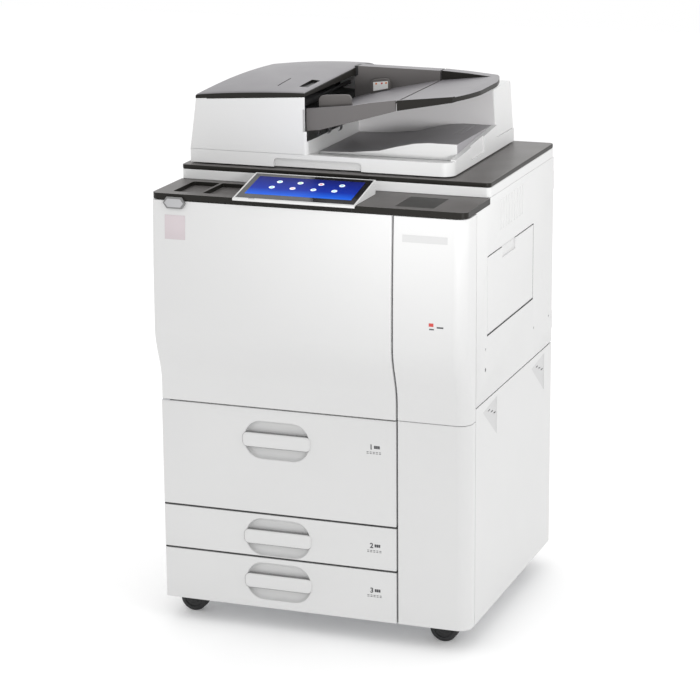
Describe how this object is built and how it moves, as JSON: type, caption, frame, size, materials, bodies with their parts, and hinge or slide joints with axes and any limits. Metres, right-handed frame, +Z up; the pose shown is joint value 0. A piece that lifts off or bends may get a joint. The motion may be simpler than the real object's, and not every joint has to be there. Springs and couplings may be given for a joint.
{
  "type": "photocopier",
  "caption": "Floor-standing photocopier with a document feeder lid, tilting touch panel, swelling front door, paper drawers, side bypass tray and swivel casters.",
  "frame": {"origin": "on the floor under the middle of the object's bounding box", "axes": "+Z up, the front with the drawers faces -Y, +X to the right seen from the front"},
  "size_m": [0.69, 0.68, 1.1593],
  "materials": {
    "covers": "fine matte texture",
    "frame_steel": "galvanised sheet",
    "dark_trim": "fine matte texture",
    "tray_gray": "satin",
    "cassette": "satin",
    "black_plastic": "matte",
    "glass": "polished",
    "screen": "glossy, lit display",
    "engine_dark": "matte",
    "inner_cover": "matte",
    "pad_white": "smooth foam backed sheet",
    "rubber": "matte",
    "toner": "satin",
    "silver_plastic": "satin"
  },
  "bodies": {
    "cabinet": {"base_frame": "frame_steel", "left_cover": "covers", "right_lower_cover": "covers", "rear_cover": "covers", "column_upper": "covers", "column_lower": "covers", "deck": "dark_trim", "inner_cover": "inner_cover", "drum_unit": "engine_dark", "fuser_unit": "engine_dark", "scanner_housing": "covers", "top_plate": "dark_trim", "platen_glass": "glass", "slit_glass": "glass", "scan_rail": "frame_steel", "mains_inlet": "black_plastic", "lid_hinge_brackets": "frame_steel"},
    "toner_bottle": {"toner_bottle": "toner"},
    "scan_carriage": {"scan_carriage": "black_plastic"},
    "front_door": {"front_door": "covers"},
    "right_door": {"right_door": "covers", "bypass_liner": "inner_cover"},
    "bypass_tray": {"bypass_tray": "covers"},
    "bypass_extension": {"bypass_extension": "tray_gray"},
    "bypass_guide_front": {"bypass_guide_front": "dark_trim"},
    "bypass_guide_rear": {"bypass_guide_rear": "dark_trim"},
    "drawer_1": {"drawer_1_front": "covers", "drawer_1_tray": "cassette"},
    "drawer_1_plate": {"drawer_1_plate": "frame_steel"},
    "drawer_2": {"drawer_2_front": "covers", "drawer_2_tray": "cassette"},
    "drawer_2_plate": {"drawer_2_plate": "frame_steel"},
    "drawer_3": {"drawer_3_front": "covers", "drawer_3_tray": "cassette"},
    "drawer_3_plate": {"drawer_3_plate": "frame_steel"},
    "caster_fork_1": {"caster_fork_1": "black_plastic"},
    "caster_wheel_1": {"caster_wheel_1": "rubber"},
    "caster_fork_2": {"caster_fork_2": "black_plastic"},
    "caster_wheel_2": {"caster_wheel_2": "rubber"},
    "caster_fork_3": {"caster_fork_3": "black_plastic"},
    "caster_wheel_3": {"caster_wheel_3": "rubber"},
    "caster_fork_4": {"caster_fork_4": "black_plastic"},
    "caster_wheel_4": {"caster_wheel_4": "rubber"},
    "panel": {"panel_housing": "covers", "panel_glass": "screen"},
    "power_key": {"power_key": "silver_plastic"},
    "lid": {"lid_base": "covers", "platen_pad": "pad_white", "lid_hinge_knuckles": "frame_steel", "feeder_body": "covers", "rear_housing": "covers", "exit_tray": "tray_gray", "document_tray": "dark_trim"},
    "exit_stopper": {"exit_stopper": "tray_gray"},
    "tray_flap": {"tray_flap": "dark_trim"},
    "feed_cover": {"feed_cover": "dark_trim"},
    "latch_lever": {"latch_lever": "black_plastic"},
    "guide_front": {"guide_front": "dark_trim"},
    "guide_rear": {"guide_rear": "dark_trim"},
    "feeder_rollers": {"feeder_rollers": "rubber"}
  },
  "joints": [
    {"name": "toner_bottle_turn", "type": "hinge", "parent": "cabinet", "child": "toner_bottle", "pos_m": [-0.225, -0.294, 0.83], "axis": [0, 1, 0], "continuous": true},
    {"name": "carriage_scan", "type": "slide", "parent": "cabinet", "child": "scan_carriage", "axis": [1, 0, 0], "range_m": [0, 0.43]},
    {"name": "front_door_hinge", "type": "hinge", "parent": "cabinet", "child": "front_door", "pos_m": [-0.339, -0.305, 0.5], "axis": [0, 0, -1], "range_deg": [0, 105]},
    {"name": "right_door_hinge", "type": "hinge", "parent": "cabinet", "child": "right_door", "pos_m": [0.341, 0.3125, 0.6], "axis": [0, 0, 1], "range_deg": [0, 80]},
    {"name": "bypass_tray_hinge", "type": "hinge", "parent": "right_door", "child": "bypass_tray", "pos_m": [0.341, 0, 0.669], "axis": [0, 1, 0], "range_deg": [0, 75]},
    {"name": "bypass_extension_slide", "type": "slide", "parent": "bypass_tray", "child": "bypass_extension", "axis": [0, 0, 1], "range_m": [0, 0.06]},
    {"name": "bypass_guide_front_slide", "type": "slide", "parent": "bypass_tray", "child": "bypass_guide_front", "axis": [0, 1, 0], "range_m": [-0.04, 0.05]},
    {"name": "bypass_guide_rear_slide", "type": "slide", "parent": "bypass_tray", "child": "bypass_guide_rear", "axis": [0, 1, 0], "range_m": [-0.05, 0.04]},
    {"name": "drawer_1_slide", "type": "slide", "parent": "cabinet", "child": "drawer_1", "axis": [0, -1, 0], "range_m": [0, 0.48]},
    {"name": "drawer_2_slide", "type": "slide", "parent": "cabinet", "child": "drawer_2", "axis": [0, -1, 0], "range_m": [0, 0.48]},
    {"name": "drawer_3_slide", "type": "slide", "parent": "cabinet", "child": "drawer_3", "axis": [0, -1, 0], "range_m": [0, 0.48]},
    {"name": "drawer_1_plate_lift", "type": "slide", "parent": "drawer_1", "child": "drawer_1_plate", "axis": [0, 0, 1], "range_m": [0, 0.19]},
    {"name": "drawer_2_plate_lift", "type": "hinge", "parent": "drawer_2", "child": "drawer_2_plate", "pos_m": [-0.3, 0, 0.1763], "axis": [0, -1, 0], "range_deg": [0, 8]},
    {"name": "drawer_3_plate_lift", "type": "hinge", "parent": "drawer_3", "child": "drawer_3_plate", "pos_m": [-0.3, 0, 0.0903], "axis": [0, -1, 0], "range_deg": [0, 8]},
    {"name": "caster_swivel_1", "type": "hinge", "parent": "cabinet", "child": "caster_fork_1", "pos_m": [-0.289, -0.238, 0.066], "axis": [0, 0, 1], "continuous": true},
    {"name": "caster_roll_1", "type": "hinge", "parent": "caster_fork_1", "child": "caster_wheel_1", "pos_m": [-0.307, -0.238, 0.031], "axis": [0, 1, 0], "continuous": true},
    {"name": "caster_swivel_2", "type": "hinge", "parent": "cabinet", "child": "caster_fork_2", "pos_m": [0.289, -0.238, 0.066], "axis": [0, 0, 1], "continuous": true},
    {"name": "caster_roll_2", "type": "hinge", "parent": "caster_fork_2", "child": "caster_wheel_2", "pos_m": [0.271, -0.238, 0.031], "axis": [0, 1, 0], "continuous": true},
    {"name": "caster_swivel_3", "type": "hinge", "parent": "cabinet", "child": "caster_fork_3", "pos_m": [-0.289, 0.238, 0.066], "axis": [0, 0, 1], "continuous": true},
    {"name": "caster_roll_3", "type": "hinge", "parent": "caster_fork_3", "child": "caster_wheel_3", "pos_m": [-0.307, 0.238, 0.031], "axis": [0, 1, 0], "continuous": true},
    {"name": "caster_swivel_4", "type": "hinge", "parent": "cabinet", "child": "caster_fork_4", "pos_m": [0.289, 0.238, 0.066], "axis": [0, 0, 1], "continuous": true},
    {"name": "caster_roll_4", "type": "hinge", "parent": "caster_fork_4", "child": "caster_wheel_4", "pos_m": [0.271, 0.238, 0.031], "axis": [0, 1, 0], "continuous": true},
    {"name": "panel_tilt", "type": "hinge", "parent": "cabinet", "child": "panel", "pos_m": [0, -0.3359, 0.949], "axis": [1, 0, 0], "range_deg": [0, 25]},
    {"name": "power_key_press", "type": "slide", "parent": "panel", "child": "power_key", "axis": [0, 0.2164, -0.9763], "range_m": [0, 0.0008], "stiffness_N_per_m": 400, "springref_m": -0.001},
    {"name": "lid_hinge", "type": "hinge", "parent": "cabinet", "child": "lid", "pos_m": [0, 0.306, 1], "axis": [-1, 0, 0], "range_deg": [0, 60]},
    {"name": "exit_stopper_flip", "type": "hinge", "parent": "lid", "child": "exit_stopper", "pos_m": [0.2115, 0.095, 1.0412], "axis": [0, 1, 0], "range_deg": [0, 90]},
    {"name": "tray_flap_fold", "type": "hinge", "parent": "lid", "child": "tray_flap", "pos_m": [0.129, 0, 1.158], "axis": [0, -1, 0], "range_deg": [0, 60]},
    {"name": "feed_cover_hinge", "type": "hinge", "parent": "lid", "child": "feed_cover", "pos_m": [-0.3175, 0, 1.1236], "axis": [0, -1, 0], "range_deg": [0, 70]},
    {"name": "latch_lever_lift", "type": "hinge", "parent": "feed_cover", "child": "latch_lever", "pos_m": [-0.0975, -0.062, 1.147], "axis": [0, -1, 0], "range_deg": [0, 12], "stiffness_Nm_per_rad": 0.05, "springref_deg": -5.73},
    {"name": "guide_front_slide", "type": "slide", "parent": "lid", "child": "guide_front", "axis": [0, 1, 0], "range_m": [-0.015, 0.05]},
    {"name": "guide_rear_slide", "type": "slide", "parent": "lid", "child": "guide_rear", "axis": [0, 1, 0], "range_m": [-0.05, 0.015]},
    {"name": "feeder_rollers_turn", "type": "hinge", "parent": "lid", "child": "feeder_rollers", "pos_m": [-0.128, 0, 1.102], "axis": [0, 1, 0], "continuous": true}
  ],
  "couplings": [
    {"joint": "bypass_guide_rear_slide", "follows": "bypass_guide_front_slide", "ratio": -1},
    {"joint": "guide_rear_slide", "follows": "guide_front_slide", "ratio": -1}
  ]
}
